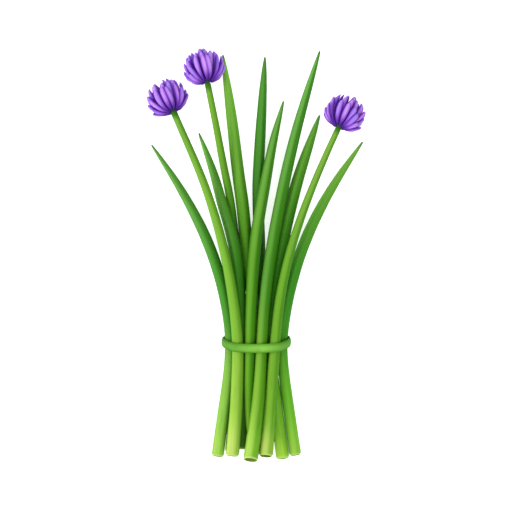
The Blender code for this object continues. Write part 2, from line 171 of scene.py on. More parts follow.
def colour(code):
    """A linear colour from a hexadecimal one."""
    shares = [int(code[i:i + 2], 16) / 255 for i in (0, 2, 4)]
    return (*(s / 12.92 if s <= 0.04045 else ((s + 0.055) / 1.055) ** 2.4 for s in shares), 1)


# How each stem looks: colours at the cut end, below the tie, above it and at the top, then how keeled its
# section is and how far the keel is turned, in degrees. On most stems the colour above the tie is darker,
# painted shade where the neighbouring stems crowd it, and leaf_mid_left's dark cut end is a painted shadow.
STEM_LOOKS = {
    "leaf_far_left": ("94c54c", "88bb49", "438a29", "619e43", 0.8, 10),
    "leaf_mid_left": ("427a1e", "4a8a20", "397d1a", "6ba947", 0.8, 12),
    "leaf_tall_left": ("8db539", "6ca629", "478517", "7ebd44", 0.7, -12),
    "leaf_middle_back": ("487d26", "44801f", "2f7117", "4c8e2e", 1.0, -14),
    "leaf_middle_front": ("85b839", "649d24", "629c2b", "68a044", 0.9, -12),
    "leaf_tallest": ("9cc94d", "7bac34", "5a9635", "63a147", 0.9, 4),
    "leaf_mid_right": ("a6dd44", "7cbc34", "368019", "619f32", 0.9, 12),
    "leaf_far_right": ("8fc840", "73bc32", "459727", "75b041", 0.9, 12),
    "stalk_left_low": ("aed15d", "91bd41", "73aa32", "71a538", 0.35, 0),
    "stalk_left_high": ("91b53e", "599520", "3b8017", "6fa430", 0.35, 0),
    "stalk_right": ("a0c951", "73a92e", "669f29", "74a539", 0.35, 0),
}
# The tie's colours from one end to the other: the pale one in the middle is a painted highlight where the
# band faces the light, and the darker ones, towards its sides and ends, painted shade
TIE_COLOURS = ("3a7a16", "479020", "86c34e", "3e7d16")
# painted shade along the tie's top and bottom edges
TIE_EDGE_SHADE = {"Edges": 1.0, "Edge shade from": 0.2}
# how short the painted highlight in the tie's middle is
TIE_HIGHLIGHT_POWER = 0.6  # the lower, the shorter the pale middle
# How straw-coloured a cut end is, how dark the painted shade on a stem's side away from the light is, and
# how near the painted bright side that starts: 1 is at the brightest line and -1 opposite it
BLUSHES = {"stalk_right": 0.4, "stalk_left_low": 0.2}
OTHER_BLUSHES = 0.1
PAINTED_SHADE_SIDES = {
    "leaf_tallest": 1.0, "leaf_middle_front": 1.0, "leaf_middle_back": 0.8, "stalk_right": 0.8,
}
OTHER_PAINTED_SHADE_SIDES = 0.5
PAINTED_SHADE_FROM = {"leaf_tallest": 1.0, "leaf_middle_front": 1.05, "leaf_middle_back": 0.98}
OTHER_PAINTED_SHADE_FROM = 0.8
PAINTED_SHADE_SPREAD = 0.5
STEM_EDGE_SHADE = 0.6
LEAF_TIPS = 0.7
STALK_NECK_SHADE = 1.0
COLOUR_SEED_STEP = 3.7
SHAPE_SEED_STEP = 5
# The darkest colour is painted shade at a petal's root and margins, and the two lightest, in two tones, a
# painted highlight along its middle
PETAL_COLOURS = {
    "Root": "501898", "Body": "8f4fd4", "Light": "d296f2", "Cool highlight": "a082f6", "Tip": "a268d2",
}
RECEPTACLE_COLOURS = ("245c0e", "35204e")


# ---- helpers ----

def new_object(name, data):
    thing = bpy.data.objects.new(name, data)
    bpy.context.scene.collection.objects.link(thing)
    return thing


def feed(tree, socket, value):
    if isinstance(value, bpy.types.NodeSocket):
        tree.links.new(value, socket)
    else:
        socket.default_value = value


def add(tree, kind, values=None, **settings):
    """A new node with its settings made and its inputs fed, each from a socket or a plain value."""
    made = tree.nodes.new(kind)
    for name, setting in settings.items():
        setattr(made, name, setting)
    for key, value in (values or {}).items():
        feed(tree, made.inputs[key], value)
    return made


def maths(tree, operation, *values):
    return add(tree, "ShaderNodeMath", dict(enumerate(values)), operation=operation).outputs[0]


def plus(tree, first, second):
    return maths(tree, "ADD", first, second)


def minus(tree, first, second):
    return maths(tree, "SUBTRACT", first, second)


def times(tree, first, second):
    return maths(tree, "MULTIPLY", first, second)


def vectors(tree, operation, *values):
    return add(tree, "ShaderNodeVectorMath", dict(enumerate(values)), operation=operation).outputs[0]


def scaled(tree, vector, factor):
    values = {0: vector, "Scale": factor}
    return add(tree, "ShaderNodeVectorMath", values, operation="SCALE").outputs[0]


def joined(tree, x, y, z):
    return add(tree, "ShaderNodeCombineXYZ", {0: x, 1: y, 2: z}).outputs[0]


def step(tree, value, start, end, low=0.0, high=1.0):
    """A smooth step of value from low at start to high at end."""
    values = {0: value, 1: start, 2: end, 3: low, 4: high}
    return add(tree, "ShaderNodeMapRange", values, interpolation_type="SMOOTHSTEP").outputs[0]


def mixed(tree, share, low, high, how="MIX"):
    values = {0: share, 6: low, 7: high}
    return add(tree, "ShaderNodeMix", values, data_type="RGBA", blend_type=how).outputs[2]


def tinted(tree, share, shade, tint):
    return mixed(tree, share, shade, mixed(tree, 1.0, shade, tint, "MULTIPLY"))


def noise(tree, place, scale, detail=2.0):
    values = {"Vector": place, "Scale": scale, "Detail": detail}
    return add(tree, "ShaderNodeTexNoise", values).outputs[0]


def new_group(name, kind, inputs, outputs):
    """An empty node group with named sockets. Inputs are name: (type, value)."""
    tree = bpy.data.node_groups.new(name, kind)
    for label, (socket_type, value) in inputs.items():
        socket = tree.interface.new_socket(label, in_out="INPUT", socket_type=socket_type)
        if value is not None:
            socket.default_value = value
    for label, socket_type in outputs.items():
        tree.interface.new_socket(label, in_out="OUTPUT", socket_type=socket_type)
    return tree, tree.nodes.new("NodeGroupInput").outputs, tree.nodes.new("NodeGroupOutput").inputs


# ---- shader node groups ----

# painted light: where the painted bright side of a stem faces
PAINTED_LIGHT_SIDE = 0.36  # as a share of the way round, from the right over the top
# painted shade on a stem's side away from the light
PAINTED_SHADE_TINT = (0.45, 0.71, 0.25, 1)
# painted shade along the two edges of a stem's or the tie's section, where its round turns away from the
# light
EDGE_SHADE_TINT = (0.5, 0.66, 0.3, 1)
VEIN_TINT = (1.16, 1.12, 1.10, 1)
PATCH_TINT = (0.78, 0.84, 0.78, 1)
STREAK_TINT = (0.72, 0.66, 0.80, 1)
BLUSH_COLOUR = "dcc47c"
TIP_COLOUR = "4a6f38"
# painted shade at the top of a stalk, just under its flower head
NECK_SHADE_COLOUR = "33730e"
RIM_COLOUR = "cfe08a"
BORE_COLOUR = "6d8a2a"
# Where one colour passes into the next, in shares of a stem's length from its cut end; a bore lies below 0
LOWER_BAND = (0.01, 0.16)
MIDDLE_BAND = (0.16, 0.46)
UPPER_BAND = (0.50, 0.95)
BLUSH_BAND = (0.03, 0.10)
TIP_BAND = (0.965, 1.0)
NECK_SHADE_BAND = (0.97, 0.992)
RIM_BAND = (0.006, 0.001)
BORE_BAND = (-0.004, -0.02)
WANDER = 0.10  # how far these places move up and down with the patches
RELIEF_BAND = (0.3, 0.7)  # from the low to the high parts of a surface's relief
NUMBER = "NodeSocketFloat"
VECTOR = "NodeSocketVector"
COLOUR = "NodeSocketColor"
WHITE = (1, 1, 1, 1)


def round_place(tree, uv, across, along):
    """A place for noise that closes round the stem: u goes once round, v along."""
    parts = add(tree, "ShaderNodeSeparateXYZ", {0: uv}).outputs
    turn = times(tree, parts[0], 2 * math.pi)
    x = times(tree, maths(tree, "COSINE", turn), across)
    y = times(tree, maths(tree, "SINE", turn), across)
    return joined(tree, x, y, times(tree, parts[1], along)), parts


def make_leaf_veins():
    """Fine ridges along a stem: their height, and a mask that is 1 in the pale ones."""
    inputs = {"UV": (VECTOR, None), "Seed": (NUMBER, 0.0)}
    tree, given, out = new_group("leaf_veins", "ShaderNodeTree", inputs, {"Height": NUMBER, "Pale": NUMBER})
    place, _ = round_place(tree, given["UV"], across=5.0, along=2.2)
    shifted = vectors(tree, "ADD", place, joined(tree, given["Seed"], given["Seed"], 0.0))
    fine = noise(tree, shifted, scale=3.2, detail=3.0)
    broad = noise(tree, shifted, scale=0.7, detail=1.0)
    height = plus(tree, times(tree, fine, 0.7), times(tree, broad, 0.3))
    tree.links.new(height, out["Height"])
    tree.links.new(step(tree, height, 0.45, 0.62), out["Pale"])
    return tree


def make_leaf_colour():
    """A stem's colour: from the pale cut end up to the top, with pale veins, soft patches, painted shade on
    the side away from the light, painted shade along its edges, a dark tip, painted shade at a stalk's neck,
    and an olive bore."""
    inputs = {
        "UV": (VECTOR, None), "Pale": (NUMBER, 0.0), "Seed": (NUMBER, 0.0), "Cut end": (COLOUR, WHITE),
        "Lower": (COLOUR, WHITE), "Middle": (COLOUR, WHITE), "Upper": (COLOUR, WHITE),
        "Painted shade side": (NUMBER, 0.0), "Painted shade from": (NUMBER, 0.8), "Edges": (NUMBER, 0.0),
        "Edge shade from": (NUMBER, 0.72), "Tip": (NUMBER, 0.0), "Neck shade": (NUMBER, 0.0), "Blush": (NUMBER, 0.0),
    }
    tree, given, out = new_group("leaf_colour", "ShaderNodeTree", inputs, {"Colour": COLOUR})
    place, parts = round_place(tree, given["UV"], across=0.8, along=7.0)
    shifted = vectors(tree, "ADD", place, joined(tree, given["Seed"], 0.0, given["Seed"]))
    patches = noise(tree, shifted, scale=1.0, detail=3.0)
    wander = times(tree, minus(tree, patches, 0.5), WANDER)
    along = plus(tree, parts[1], wander)
    shade = mixed(tree, step(tree, along, *LOWER_BAND), given["Cut end"], given["Lower"])
    shade = mixed(tree, step(tree, along, *MIDDLE_BAND), shade, given["Middle"])
    shade = mixed(tree, step(tree, along, *UPPER_BAND), shade, given["Upper"])
    shade = tinted(tree, times(tree, given["Pale"], 0.7), shade, VEIN_TINT)
    shade = tinted(tree, step(tree, patches, 0.52, 0.72, high=0.6), shade, PATCH_TINT)
    near_cut = step(tree, along, *BLUSH_BAND, low=1.0, high=0.0)
    blush = times(tree, times(tree, near_cut, given["Blush"]), patches)
    shade = mixed(tree, blush, shade, colour(BLUSH_COLOUR))
    # painted shade: the side turned away from the light is tinted darker
    painted_light_side = times(tree, minus(tree, parts[0], PAINTED_LIGHT_SIDE), 2 * math.pi)
    to_light = plus(tree, maths(tree, "COSINE", painted_light_side), times(tree, wander, 2.0))
    painted_shade_to = minus(tree, given["Painted shade from"], PAINTED_SHADE_SPREAD)
    away = step(tree, to_light, given["Painted shade from"], painted_shade_to)
    shade = tinted(tree, times(tree, away, given["Painted shade side"]), shade, PAINTED_SHADE_TINT)
    # painted shade along both edges of the section
    edge = maths(tree, "ABSOLUTE", maths(tree, "COSINE", times(tree, parts[0], 2 * math.pi)))
    edge = times(tree, step(tree, edge, given["Edge shade from"], 0.99), given["Edges"])
    shade = tinted(tree, edge, shade, EDGE_SHADE_TINT)
    tip = times(tree, step(tree, parts[1], *TIP_BAND), given["Tip"])
    shade = mixed(tree, tip, shade, colour(TIP_COLOUR))
    # painted shade where a stalk meets its flower head
    neck = times(tree, step(tree, parts[1], *NECK_SHADE_BAND), given["Neck shade"])
    shade = mixed(tree, neck, shade, colour(NECK_SHADE_COLOUR))
    shade = mixed(tree, step(tree, parts[1], *RIM_BAND, high=0.6), shade, colour(RIM_COLOUR))
    shade = mixed(tree, step(tree, parts[1], *BORE_BAND), shade, colour(BORE_COLOUR))
    tree.links.new(shade, out["Colour"])
    return tree


def make_petal_colour():
    """A petal's colour: painted shade at its root and its margins, a painted highlight along its middle,
    with fine streaks and its own tone."""
    inputs = {
        "UV": (VECTOR, None), "Tone": (NUMBER, 0.5), "Root": (COLOUR, WHITE), "Body": (COLOUR, WHITE),
        "Light": (COLOUR, WHITE), "Cool highlight": (COLOUR, WHITE), "Tip": (COLOUR, WHITE),
    }
    outputs = {"Colour": COLOUR, "Height": NUMBER}
    tree, given, out = new_group("petal_colour", "ShaderNodeTree", inputs, outputs)
    parts = add(tree, "ShaderNodeSeparateXYZ", {0: given["UV"]}).outputs
    aside = maths(tree, "ABSOLUTE", minus(tree, times(tree, parts[0], 2.0), 1.0))
    shifted = plus(tree, parts[0], times(tree, given["Tone"], 9.0))
    place = joined(tree, shifted, times(tree, parts[1], 0.12), given["Tone"])
    streaks = noise(tree, place, scale=16.0)
    light = mixed(tree, given["Tone"], given["Light"], given["Cool highlight"])
    # painted highlight along the petal's middle
    inward = step(tree, aside, 0.05, 0.95, low=1.0, high=0.0)
    middle = times(tree, inward, step(tree, parts[1], 0.25, 0.7))
    shade = mixed(tree, middle, given["Body"], light)
    shade = mixed(tree, step(tree, parts[1], 0.88, 1.0, high=0.7), shade, given["Tip"])
    # painted shade at the petal's root
    shade = mixed(tree, step(tree, parts[1], 0.10, 0.55, low=1.0, high=0.0), shade, given["Root"])
    shade = tinted(tree, step(tree, streaks, 0.48, 0.66, high=0.55), shade, STREAK_TINT)
    # painted shade along the petal's margins
    shade = mixed(tree, step(tree, aside, 0.58, 0.95, high=0.85), shade, given["Root"])
    tree.links.new(shade, out["Colour"])
    tree.links.new(streaks, out["Height"])
    return tree


def placed(tree, group, values):
    return add(tree, "ShaderNodeGroup", values, node_tree=group).outputs


# ---- materials ----

def new_material(name, roughness, specular):
    material = bpy.data.materials.new(name)
    material.use_nodes = True
    tree = material.node_tree
    shader = tree.nodes["Principled BSDF"]
    shader.inputs["Roughness"].default_value = roughness
    shader.inputs["Specular IOR Level"].default_value = specular
    return material, tree, shader.inputs


def dress(tree, shader, shade, height, roughness, strength, depth):
    """Feeds a material's colour, and its roughness and relief from the one height."""
    tree.links.new(shade, shader["Base Color"])
    dull = step(tree, height, *RELIEF_BAND, *roughness)
    tree.links.new(dull, shader["Roughness"])
    values = {"Height": height, "Strength": strength, "Distance": depth}
    tree.links.new(add(tree, "ShaderNodeBump", values).outputs[0], shader["Normal"])


def make_stem_material(name, groups, colours, seed, **amounts):
    material, tree, shader = new_material(name, roughness=0.5, specular=0.07)
    uv = add(tree, "ShaderNodeUVMap", uv_map="UVMap").outputs[0]
    veins = placed(tree, groups["leaf_veins"], {"UV": uv, "Seed": seed})
    values = {"UV": uv, "Pale": veins["Pale"], "Seed": seed, **amounts}
    values.update(zip(("Cut end", "Lower", "Middle", "Upper"), map(colour, colours)))
    shade = placed(tree, groups["leaf_colour"], values)
    relief = {"roughness": (0.58, 0.46), "strength": 0.35, "depth": 0.12 * MM}
    dress(tree, shader, shade["Colour"], veins["Height"], **relief)
    return material


def make_petal_material(name, groups):
    material, tree, shader = new_material(name, roughness=0.6, specular=0.2)
    uv = add(tree, "ShaderNodeUVMap", uv_map="UVMap").outputs[0]
    tone = add(tree, "ShaderNodeAttribute", attribute_name="petal_tone").outputs["Fac"]
    values = {"UV": uv, "Tone": tone}
    values.update((label, colour(code)) for label, code in PETAL_COLOURS.items())
    shade = placed(tree, groups["petal_colour"], values)
    relief = {"roughness": (0.66, 0.54), "strength": 0.4, "depth": 0.1 * MM}
    dress(tree, shader, shade["Colour"], shade["Height"], **relief)
    return material


def make_receptacle_material(name):
    material, tree, shader = new_material(name, roughness=0.6, specular=0.12)
    place = add(tree, "ShaderNodeTexCoord").outputs["Object"]
    patches = noise(tree, place, scale=900.0, detail=3.0)
    shade = mixed(tree, patches, *map(colour, RECEPTACLE_COLOURS))
    relief = {"roughness": (0.6, 0.45), "strength": 0.3, "depth": 0.1 * MM}
    dress(tree, shader, shade, patches, **relief)
    return material


def make_floor_material():
    material, tree, shader = new_material("pale_floor", roughness=0.9, specular=0.1)
    place = add(tree, "ShaderNodeTexCoord").outputs["Object"]
    grain = noise(tree, place, scale=40.0)
    pale = mixed(tree, grain, *FLOOR_TONES)
    tree.links.new(pale, shader["Base Color"])
    tree.links.new(pale, shader["Emission Color"])
    shader["Emission Strength"].default_value = FLOOR_GLOW
    return material


# ---- geometry trees ----

def make_skin_tree():
    """A closed skin over a line of rings. Each point of the given mesh is one ring's middle, with vectors to
    its side and upwards, the slant of the ring, the share of the stem's length, and the section's power."""
    inputs = {
        "Rings": ("NodeSocketGeometry", None), "Sides": ("NodeSocketInt", SIDES),
        "Unevenness": (NUMBER, 0.0), "Seed": (NUMBER, 0.0), "Join distance": (NUMBER, JOIN_DISTANCE),
        "Material": ("NodeSocketMaterial", None),
    }
    tree, given, out = new_group("stem_skin", "GeometryNodeTree", inputs, {"Skin": "NodeSocketGeometry"})
    tree.is_modifier = True
    rings = add(tree, "GeometryNodeAttributeDomainSize", {0: given["Rings"]}, component="MESH").outputs[0]
    columns = plus(tree, given["Sides"], 1.0)
    grid = add(tree, "GeometryNodeMeshGrid", {0: 1.0, 1: 1.0, 2: rings, 3: columns}).outputs
    index = tree.nodes.new("GeometryNodeInputIndex").outputs[0]
    ring = maths(tree, "FLOOR", maths(tree, "DIVIDE", plus(tree, index, 0.5), columns))
    column = minus(tree, index, times(tree, ring, columns))
    share_round = maths(tree, "DIVIDE", column, given["Sides"])
    turn = times(tree, share_round, 2 * math.pi)

    def of_ring(name, kind):
        if name == "position":
            value = tree.nodes.new("GeometryNodeInputPosition").outputs[0]
        else:
            value = add(tree, "GeometryNodeInputNamedAttribute", {"Name": name}, data_type=kind).outputs[0]
        values = {"Geometry": given["Rings"], "Value": value, "Index": ring}
        return add(tree, "GeometryNodeSampleIndex", values, data_type=kind, domain="POINT").outputs[0]

    middle, side, up, slant = (of_ring(n, "FLOAT_VECTOR") for n in ("position", "side", "up", "slant"))
    share, power = (of_ring(n, "FLOAT") for n in ("share", "power"))
    out_side, out_up = maths(tree, "COSINE", turn), maths(tree, "SINE", turn)
    spans = [maths(tree, "POWER", maths(tree, "ABSOLUTE", part), power) for part in (out_side, out_up)]
    inverse = maths(tree, "DIVIDE", -1.0, power)
    reach = maths(tree, "POWER", plus(tree, *spans), inverse)
    along = plus(tree, times(tree, share, 11.0), given["Seed"])
    waves = noise(tree, joined(tree, out_side, out_up, along), scale=1.1, detail=1.0)
    uneven = times(tree, minus(tree, waves, 0.5), given["Unevenness"])
    reach = times(tree, reach, plus(tree, uneven, 1.0))
    offset = vectors(tree, "ADD", scaled(tree, side, out_side), scaled(tree, up, out_up))
    place = vectors(tree, "ADD", middle, scaled(tree, offset, reach))
    place = vectors(tree, "ADD", place, scaled(tree, slant, out_up))
    kept = tree.nodes.new("GeometryNodeCaptureAttribute")
    kept.domain = "POINT"
    kept.capture_items.new("VECTOR", "uv")
    kept.capture_items.new("VECTOR", "place")
    feed(tree, kept.inputs[0], grid[0])
    feed(tree, kept.inputs[1], joined(tree, share_round, share, 0.0))
    feed(tree, kept.inputs[2], place)
    values = {"Geometry": kept.outputs[0], "Name": "UVMap", "Value": kept.outputs[1]}
    mapped = add(tree, "GeometryNodeStoreNamedAttribute", values, data_type="FLOAT2", domain="CORNER")
    values = {"Geometry": mapped.outputs[0], "Position": kept.outputs[2]}
    moved = add(tree, "GeometryNodeSetPosition", values)
    values = {"Geometry": moved.outputs[0], "Distance": given["Join distance"]}
    closed = add(tree, "GeometryNodeMergeByDistance", values)
    smooth = add(tree, "GeometryNodeSetShadeSmooth", {"Geometry": closed.outputs[0]})
    real = add(tree, "GeometryNodeRealizeInstances", {"Geometry": smooth.outputs[0]})
    values = {"Geometry": real.outputs[0], "Material": given["Material"]}
    tree.links.new(add(tree, "GeometryNodeSetMaterial", values).outputs[0], out["Skin"])
    return tree


def make_petal_ring_tree():
    """A ring of petals from one flat petal whose width is 2, length 1 and thickness 2. Every petal is laid
    along the same Bezier line, with its own length, sway, tilt and roll, and turned to its place."""
    inputs = {
        "Petal": ("NodeSocketGeometry", None), "Count": ("NodeSocketInt", 10),
        "Open angle": (NUMBER, 0.0), "Middle of opening": (NUMBER, UPPER_SIDE),
        "Root": (VECTOR, None), "Root handle": (VECTOR, None), "Tip handle": (VECTOR, None),
        "Tip": (VECTOR, None), "Half width": (NUMBER, PETAL_HALF_WIDTH),
        "Half thickness": (NUMBER, PETAL_HALF_THICKNESS), "Cup": (NUMBER, PETAL_CUP),
        "Disorder": (NUMBER, 1.0), "Seed": ("NodeSocketInt", 0), "Material": ("NodeSocketMaterial", None),
    }
    tree, given, out = new_group("petal_ring", "GeometryNodeTree", inputs, {"Petals": "NodeSocketGeometry"})
    tree.is_modifier = True

    def kept(geometry, domain, **values):
        made = tree.nodes.new("GeometryNodeCaptureAttribute")
        made.domain = domain
        feed(tree, made.inputs[0], geometry)
        for i, (label, value) in enumerate(values.items(), start=1):
            made.capture_items.new("VECTOR" if label == "local" else "FLOAT", label)
            feed(tree, made.inputs[i], value)
        return list(made.outputs)[:len(values) + 1]

    index = tree.nodes.new("GeometryNodeInputIndex").outputs[0]

    def chance(spread, number):
        seed = plus(tree, given["Seed"], number)
        values = {2: -spread, 3: spread, 7: index, 8: seed}
        made = add(tree, "FunctionNodeRandomValue", values, data_type="FLOAT").outputs[1]
        return times(tree, made, given["Disorder"])

    taken = minus(tree, 2 * math.pi, given["Open angle"])
    slot = maths(tree, "DIVIDE", taken, given["Count"])
    first = plus(tree, given["Middle of opening"], times(tree, given["Open angle"], 0.5))
    place_in_ring = plus(tree, plus(tree, index, 0.5), chance(PLACE_SPREAD, 1.0))
    around = plus(tree, first, times(tree, place_in_ring, slot))
    position = tree.nodes.new("GeometryNodeInputPosition").outputs[0]
    flat, local = kept(given["Petal"], "POINT", local=position)
    points = add(tree, "GeometryNodePoints", {"Count": given["Count"]}).outputs[0]
    laid = add(tree, "GeometryNodeInstanceOnPoints", {"Points": points, "Instance": flat}).outputs[0]
    tone = plus(tree, MEAN_TONE, chance(TONE_SPREAD, 2.0))
    values = {"Geometry": laid, "Name": "petal_tone", "Value": tone}
    store = "GeometryNodeStoreNamedAttribute"
    toned = add(tree, store, values, data_type="FLOAT", domain="INSTANCE").outputs[0]
    sized = plus(tree, MEAN_SIZE, chance(SIZE_SPREAD, 3.0))
    laid, around, size, sway, tilt, roll = kept(
        toned, "INSTANCE", around=around, size=sized, sway=chance(SWAY_SPREAD, 4.0),
        tilt=chance(TILT_SPREAD, 5.0), roll=chance(ROLL_SPREAD, 6.0),
    )
    real = add(tree, "GeometryNodeRealizeInstances", {"Geometry": laid}).outputs[0]

    across, share, height = add(tree, "ShaderNodeSeparateXYZ", {0: local}).outputs
    values = {
        "Start": given["Root"], "Start Handle": given["Root handle"], "End Handle": given["Tip handle"],
        "End": given["Tip"], "Resolution": BEND_RESOLUTION,
    }
    bend = add(tree, "GeometryNodeCurvePrimitiveBezierSegment", values, mode="POSITION").outputs[0]
    values = {"Curves": bend, "Factor": times(tree, share, size)}
    sampled = add(tree, "GeometryNodeSampleCurve", values, mode="FACTOR").outputs
    back = vectors(tree, "CROSS_PRODUCT", (0, 1, 0), sampled["Tangent"])
    square = times(tree, share, share)
    cup = times(tree, times(tree, across, across), given["Half width"])
    lift = times(tree, height, given["Half thickness"])
    lift = minus(tree, lift, times(tree, cup, given["Cup"]))
    aside = times(tree, across, given["Half width"])
    rolled = times(tree, roll, share)
    lift = plus(tree, lift, times(tree, aside, rolled))
    lift = plus(tree, lift, times(tree, tilt, square))
    aside = plus(tree, aside, times(tree, sway, square))
    place = vectors(tree, "ADD", sampled["Position"], scaled(tree, back, lift))
    place = vectors(tree, "ADD", place, joined(tree, 0.0, aside, 0.0))
    values = {"Vector": place, "Angle": around}
    turned = add(tree, "ShaderNodeVectorRotate", values, rotation_type="Z_AXIS").outputs[0]
    bent = add(tree, "GeometryNodeSetPosition", {"Geometry": real, "Position": turned}).outputs[0]
    values = {"Geometry": bent, "Material": given["Material"]}
    tree.links.new(add(tree, "GeometryNodeSetMaterial", values).outputs[0], out["Petals"])
    return tree


def grown(name, mesh, tree, values):
    """The plain mesh object that a geometry tree makes from a mesh."""
    start = new_object(name + "_start", mesh)
    modifier = start.modifiers.new("shape", "NODES")
    modifier.node_group = tree
    sockets = {item.name: item.identifier for item in tree.interface.items_tree if item.in_out == "INPUT"}
    for label, value in values.items():
        modifier[sockets[label]] = value
    graph = bpy.context.evaluated_depsgraph_get()
    made = bpy.data.meshes.new_from_object(
        start.evaluated_get(graph), preserve_all_data_layers=True, depsgraph=graph
    )
    bpy.data.objects.remove(start, do_unlink=True)
    made.name = name
    return new_object(name, made)


# ---- reading the CAD stems ----

def cad_corners(node):
    """A CAD node's triangles as corner places, in an array of (triangles, 3 corners, 3)."""
    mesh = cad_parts[node].data
    places = np.empty(len(mesh.vertices) * 3, np.float32)
    mesh.vertices.foreach_get("co", places)
    corners = np.empty(len(mesh.loops), np.int32)
    mesh.loops.foreach_get("vertex_index", corners)
    return places.reshape(-1, 3)[corners].reshape(-1, 3, 3).astype(float)


def section(corners, y):
    """Points where the triangles' sides cross the upright plane at y."""
    starts = corners.reshape(-1, 3)
    ends = np.roll(corners, -1, axis=1).reshape(-1, 3)
    crossing = (starts[:, 1] - y) * (ends[:, 1] - y) < 0
    starts, ends = starts[crossing], ends[crossing]
    share = (y - starts[:, 1]) / (ends[:, 1] - starts[:, 1])
    return starts + share[:, None] * (ends - starts)


def unit(vectors_in):
    return vectors_in / np.linalg.norm(vectors_in, axis=-1, keepdims=True)


def smoothed(values):
    values = values.copy()
    for _ in range(SMOOTHING_PASSES):
        values[1:-1] += 0.25 * (values[:-2] - 2 * values[1:-1] + values[2:])
    return values


class StemLine:
    """A stem's middle line and radius from its cut to its top, read from its CAD node."""

    def __init__(self, node):
        corners = cad_corners(node)
        low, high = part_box(node)
        stations = np.arange(low.y + CUT_ZONE, high.y - TIP_ZONE, SECTION_STEP)
        sections = [section(corners, y) for y in stations]
        middles = np.array([(points.min(axis=0) + points.max(axis=0)) / 2 for points in sections])
        middles[:, 1] = stations
        directions = unit(np.gradient(smoothed(middles), axis=0))
        radii = []
        for points, middle, direction in zip(sections, middles, directions):
            offsets = points - middle
            across = offsets - (offsets @ direction)[:, None] * direction
            radii.append(np.linalg.norm(across, axis=1).max())
        middles, radii = smoothed(middles), np.array(radii)
        below = middles[0] - directions[0] * REACH_BELOW
        above = middles[-1] + directions[-1] * (high.y - middles[-1][1]) / directions[-1][1]
        line = np.vstack([below, middles, above])
        top_radius = TIP_RADIUS if node.startswith("leaf") else radii[-1]
        slope = (radii[0] - radii[SLOPE_SECTIONS]) / SLOPE_SECTIONS * REACH_BELOW / SECTION_STEP
        radii = np.concatenate([[radii[0] + slope], radii, [top_radius]])
        facing, reach = self.cut_plane(corners, directions[0])
        start = below + directions[0] * (reach - facing @ below) / (facing @ directions[0])
        keep = line[:, 1] > start[1]
        self.radii = np.concatenate([[np.interp(start[1], line[:, 1], radii)], radii[keep]])
        self.line = np.vstack([start, line[keep]])
        steps = np.linalg.norm(np.diff(self.line, axis=0), axis=1)
        self.lengths = np.concatenate([[0], np.cumsum(steps)])
        side = unit(np.cross(directions[0], UP))
        self.cut_slope = (facing @ np.cross(side, directions[0])) / -(facing @ directions[0])

    @staticmethod
    def cut_plane(corners, direction):
        normals = np.cross(corners[:, 1] - corners[:, 0], corners[:, 2] - corners[:, 0])
        looks_back = unit(normals) @ -direction > CUT_FACE_LIMIT
        facing = unit(normals[looks_back].sum(axis=0))
        return facing, (corners[looks_back] @ facing).max()

    @property
    def length(self):
        return self.lengths[-1]

    def at(self, distances):
        """Middles and radii at distances from the cut."""
        middles = [np.interp(distances, self.lengths, self.line[:, i]) for i in range(3)]
        return np.stack(middles, axis=1), np.interp(distances, self.lengths, self.radii)

    def frames(self, distances):
        """Directions along, to the side and up at distances from the cut."""
        spread = 2 * RING_STEP
        ahead, _ = self.at(np.minimum(distances + spread, self.length))
        behind, _ = self.at(np.maximum(distances - spread, 0))
        along = unit(ahead - behind)
        side = unit(np.cross(along, UP))
        return along, side, np.cross(side, along)

    def at_y(self, y):
        """The middle in x and z, and the radius, where the stem crosses y."""
        columns = (self.line[:, 0], self.line[:, 2], self.radii)
        x, z, radius = (np.interp(y, self.line[:, 1], column) for column in columns)
        return np.array([x, z]), radius


# ---- pieces ----

def ring_mesh(name, middles, side, up, slant, share, power):
    """A mesh of loose points, one for each ring, that carries what the skin tree reads."""
    mesh = bpy.data.meshes.new(name)
    mesh.vertices.add(len(middles))
    mesh.vertices.foreach_set("co", middles.astype(np.float32).ravel())
    for label, values in (("side", side), ("up", up), ("slant", slant)):
        layer = mesh.attributes.new(label, "FLOAT_VECTOR", "POINT")
        layer.data.foreach_set("vector", values.astype(np.float32).ravel())
    for label, values in (("share", share), ("power", power)):
        layer = mesh.attributes.new(label, "FLOAT", "POINT")
        layer.data.foreach_set("value", values.astype(np.float32))
    return mesh


def finish_piece(thing, node):
    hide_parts(node)
    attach(thing, BODY)


